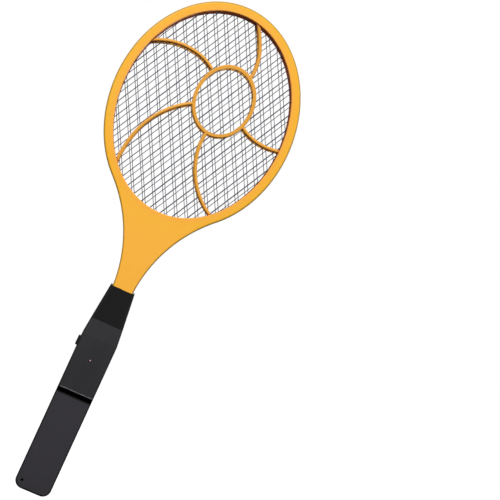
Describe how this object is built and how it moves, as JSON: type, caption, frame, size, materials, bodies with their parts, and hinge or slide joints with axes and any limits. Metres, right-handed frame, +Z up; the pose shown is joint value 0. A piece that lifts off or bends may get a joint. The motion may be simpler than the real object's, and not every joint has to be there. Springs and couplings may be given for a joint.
{
  "type": "electric fly swatter",
  "caption": "Racket-shaped electric fly swatter: orange oval head with wire nets and curved ribs, black battery handle with side button and lamp.",
  "frame": {"origin": "centre of the handle's butt end, on the parting plane of the shells", "axes": "+Z up the racket's long axis to the top of the head, -Y out of the front face, +X to the right seen from the front"},
  "size_m": [0.1712, 0.0266, 0.479],
  "materials": {
    "frame_plastic": "satin",
    "spacer_plastic": "matte",
    "shell_plastic": "matte",
    "cover_plastic": "matte",
    "collar_plastic": "matte",
    "button_plastic": "satin",
    "net_wire": "satin",
    "screw_steel": "satin",
    "spring_steel": "polished",
    "terminal_brass": "satin",
    "lead_red": "matte",
    "lead_black": "matte",
    "switch_plastic": "matte",
    "plunger_plastic": "matte",
    "lamp": "gloss",
    "board": "satin",
    "ferrite": "matte",
    "winding_tape": "satin",
    "capacitor_dip": "gloss",
    "resistor_body": "satin",
    "diode_body": "satin",
    "cell_sleeve": "satin"
  },
  "bodies": {
    "racket": {"front_frame": "frame_plastic", "rear_frame": "frame_plastic", "front_spacer": "spacer_plastic", "rear_spacer": "spacer_plastic", "front_shell": "shell_plastic", "rear_shell": "shell_plastic", "neck_collar": "collar_plastic", "front_mesh": "net_wire", "rear_mesh": "net_wire", "centre_mesh": "net_wire", "frame_screws": "screw_steel", "shell_screws": "screw_steel", "neck_screw": "screw_steel", "board_screws": "screw_steel", "battery_springs": "spring_steel", "battery_contacts": "spring_steel", "battery_bridge": "spring_steel", "outer_net_terminal": "terminal_brass", "centre_net_terminal": "terminal_brass", "hv_lead_centre": "lead_red", "hv_lead_outer": "lead_black", "battery_leads": "lead_black", "switch_body": "switch_plastic", "led": "lamp", "circuit_board": "board", "transformer_core": "ferrite", "transformer_winding": "winding_tape", "hv_capacitor": "capacitor_dip", "resistors": "resistor_body", "rectifier_diodes": "diode_body", "transistor": "diode_body", "aa_battery_left": "cell_sleeve", "aa_battery_right": "cell_sleeve"},
    "button": {"push_button": "button_plastic", "switch_plunger": "plunger_plastic"},
    "cover": {"battery_cover": "cover_plastic"}
  },
  "joints": [
    {"name": "button_press", "type": "slide", "parent": "racket", "child": "button", "axis": [1, 0, 0], "range_m": [0, 0.0012], "stiffness_N_per_m": 600},
    {"name": "cover_slide", "type": "slide", "parent": "racket", "child": "cover", "axis": [0, 0, -1], "range_m": [0, 0.105]}
  ]
}
